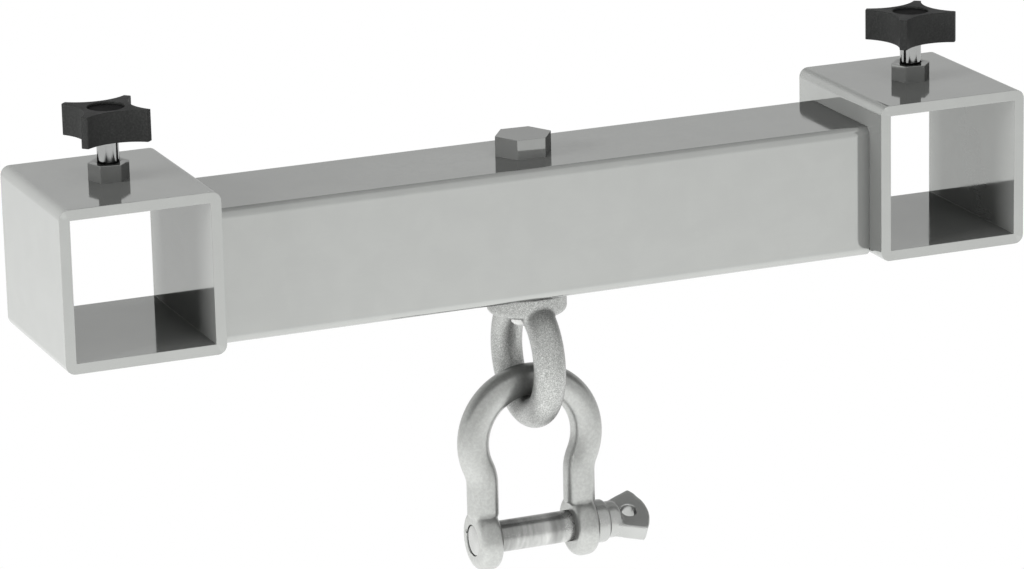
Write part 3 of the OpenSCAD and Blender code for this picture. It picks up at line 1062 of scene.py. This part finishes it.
def make_pin_head():
    """Collar, neck and flat finger tab fused into one, then drilled through the tab."""
    rounding = np.linspace(0, math.pi / 2, 5)
    under = [
        (tab_outline(TAB_EDGE * (1 - math.sin(a))), TAB_EDGE * (1 - math.cos(a)) - TAB_THICK / 2)
        for a in rounding
    ]
    levels = under + [(outline, -height) for outline, height in under[::-1]]
    base = PIN_AXIS + [NECK_X, 0, 0]
    tab_side = np.array([0, math.cos(TAB_TILT), math.sin(TAB_TILT)])
    tab_up = np.array([0, -math.sin(TAB_TILT), math.cos(TAB_TILT)])
    tab = skin(stack(levels, base, X_AXIS, tab_side, tab_up), caps=True)
    head = mesh_object("pin_head", [collar_skin(), tab])
    fuse(head, HEAD_VOXEL)
    at = points_of(head) - base
    relax(head, np.full(len(at), HEAD_SMOOTHING), 4)
    to_neck = np.hypot(at[:, 1], at[:, 2]) - NECK_RADIUS
    to_tab = np.abs(at @ tab_up) - TAB_THICK / 2
    join = near(to_neck, HEAD_FILLET) * near(to_tab, HEAD_FILLET) * (at[:, 0] > 0)
    relax(head, FILLET_PULL * join, 20)
    wide, half = TAB_HOLE + HOLE_FLARE, TAB_THICK / 2
    hole = soften(
        [(wide, -half - HOLE_PAST), (TAB_HOLE, -half + HOLE_EDGE), (TAB_HOLE, half - HOLE_EDGE),
         (wide, half + HOLE_PAST)],
        [0, HOLE_EDGE, HOLE_EDGE, 0], closed=False,
    )
    hole_base = base + TAB_HOLE_REACH * X_AXIS
    cut_away(head, lathe(hole, hole_base, along=tab_up, count=48, wrap=False, caps=True))
    hand_over(head, "pin", ["shackle_pin"], FINISHES["pin_head"])


make_pin_bar()
make_pin_head()


# ------------------------------------------------- floor, light and camera

FLOOR_Z, FLOOR_HALF = -0.45, 12
POOL_STRENGTH, POOL_REACH, FLOOR_STRENGTH = 0.68, 2.0, 0.5
BACK_LIGHT, OVERHEAD_LIGHT, FRONT_EXTRA = 0.51, 0.23, 0.2
BACK_FADE = (math.radians(22), math.radians(32))
FRONT_FADE = (math.radians(104), math.radians(114))
WHITE = (1, 1, 1, 1)
LENS, SENSOR = 171.58, 36.0
CAMERA_PLACE = (-0.664292, -1.613566, 0.473625)
CAMERA_RIGHT = (0.92311, -0.38386, -0.02277)
CAMERA_UP = (0.12677, 0.24791, 0.96045)
CAMERA_AHEAD = (0.36303, 0.88949, -0.27751)


def glowing_floor():
    """Plain white to the camera. To everything else it is a glowing floor, with a painted pool
    of light under the beam."""
    material = bpy.data.materials.new("pale_floor")
    material.use_nodes = True
    tree = material.node_tree
    tree.nodes.clear()
    seen = add(tree, "ShaderNodeLightPath").outputs["Is Camera Ray"]
    # Painted pool of light: the floor's glow is strongest under the beam and fades with distance
    # from it
    away = add(tree, "ShaderNodeVectorMath", {0: place(tree)}, operation="LENGTH").outputs["Value"]
    share = math_node(tree, "DIVIDE", away, POOL_REACH)
    spread = math_node(tree, "ADD", math_node(tree, "MULTIPLY", share, share), 1.0)
    pool = math_node(tree, "DIVIDE", POOL_STRENGTH, math_node(tree, "MULTIPLY", spread, spread))
    level = math_node(tree, "ADD", pool, FLOOR_STRENGTH)
    glow = add(tree, "ShaderNodeEmission", {"Color": WHITE, "Strength": level})
    plain = add(tree, "ShaderNodeEmission", {"Color": WHITE, "Strength": 1.0})
    both = add(tree, "ShaderNodeMixShader", {0: seen, 1: glow.outputs[0], 2: plain.outputs[0]})
    add(tree, "ShaderNodeOutputMaterial", {"Surface": both.outputs[0]})
    return material


def make_floor():
    mesh = bpy.data.meshes.new("floor")
    corners = [(-1, -1), (1, -1), (1, 1), (-1, 1)]
    mesh.from_pydata(
        [(x * FLOOR_HALF, y * FLOOR_HALF, FLOOR_Z) for x, y in corners], [], [(0, 1, 2, 3)]
    )
    mesh.materials.append(glowing_floor())
    floor = bpy.data.objects.new("floor", mesh)
    bpy.context.scene.collection.objects.link(floor)


def room_light():
    """Grey room: light low at the back, dim overhead, middling in front, white where seen."""
    world = bpy.data.worlds.new("studio")
    bpy.context.scene.world = world
    world.use_nodes = True
    tree = world.node_tree
    tree.nodes.clear()
    direction = add(tree, "ShaderNodeTexCoord").outputs["Generated"]
    parts = add(tree, "ShaderNodeSeparateXYZ", {0: direction}).outputs
    tilt = math_node(tree, "ARCTAN2", parts["Z"], parts["Y"])
    behind = ease(tree, tilt, *BACK_FADE, BACK_LIGHT, OVERHEAD_LIGHT)
    facing = ease(tree, tilt, *FRONT_FADE, 0.0, FRONT_EXTRA)
    level = math_node(tree, "ADD", behind, facing)
    seen = add(tree, "ShaderNodeLightPath").outputs["Is Camera Ray"]
    room = add(tree, "ShaderNodeBackground", {"Color": WHITE, "Strength": level})
    white = add(tree, "ShaderNodeBackground", {"Color": WHITE, "Strength": 1.0})
    both = add(tree, "ShaderNodeMixShader", {0: seen, 1: room.outputs[0], 2: white.outputs[0]})
    add(tree, "ShaderNodeOutputWorld", {"Surface": both.outputs[0]})


def softbox(name, at_point, size, watts):
    """Square area light aimed at the middle of the beam, not itself mirrored."""
    data = bpy.data.lights.new(name, "AREA")
    data.size, data.energy = size, watts
    lamp = bpy.data.objects.new(name, data)
    lamp.location = at_point
    lamp.rotation_mode = "QUATERNION"
    lamp.rotation_quaternion = Vector(at_point).to_track_quat("Z", "Y")
    lamp.visible_glossy = False
    bpy.context.scene.collection.objects.link(lamp)


def make_camera():
    """Long lens from the left and a little above, rolled slightly."""
    data = bpy.data.cameras.new("camera")
    data.lens, data.sensor_width = LENS, SENSOR
    camera = bpy.data.objects.new("camera", data)
    turned = Matrix((CAMERA_RIGHT, CAMERA_UP, -Vector(CAMERA_AHEAD))).transposed().to_4x4()
    camera.matrix_world = Matrix.Translation(CAMERA_PLACE) @ turned
    bpy.context.scene.collection.objects.link(camera)
    bpy.context.scene.camera = camera


make_floor()
room_light()
softbox("overhead_softbox", (0.3, -0.4, 2.0), 1.6, 9.0)
softbox("left_softbox", (-2.0, -0.1, 0.35), 1.2, 80.0)
softbox("front_softbox", (0.3, -2.2, 0.2), 1.2, 45.0)
make_camera()
bpy.context.scene.view_settings.view_transform = "Standard"
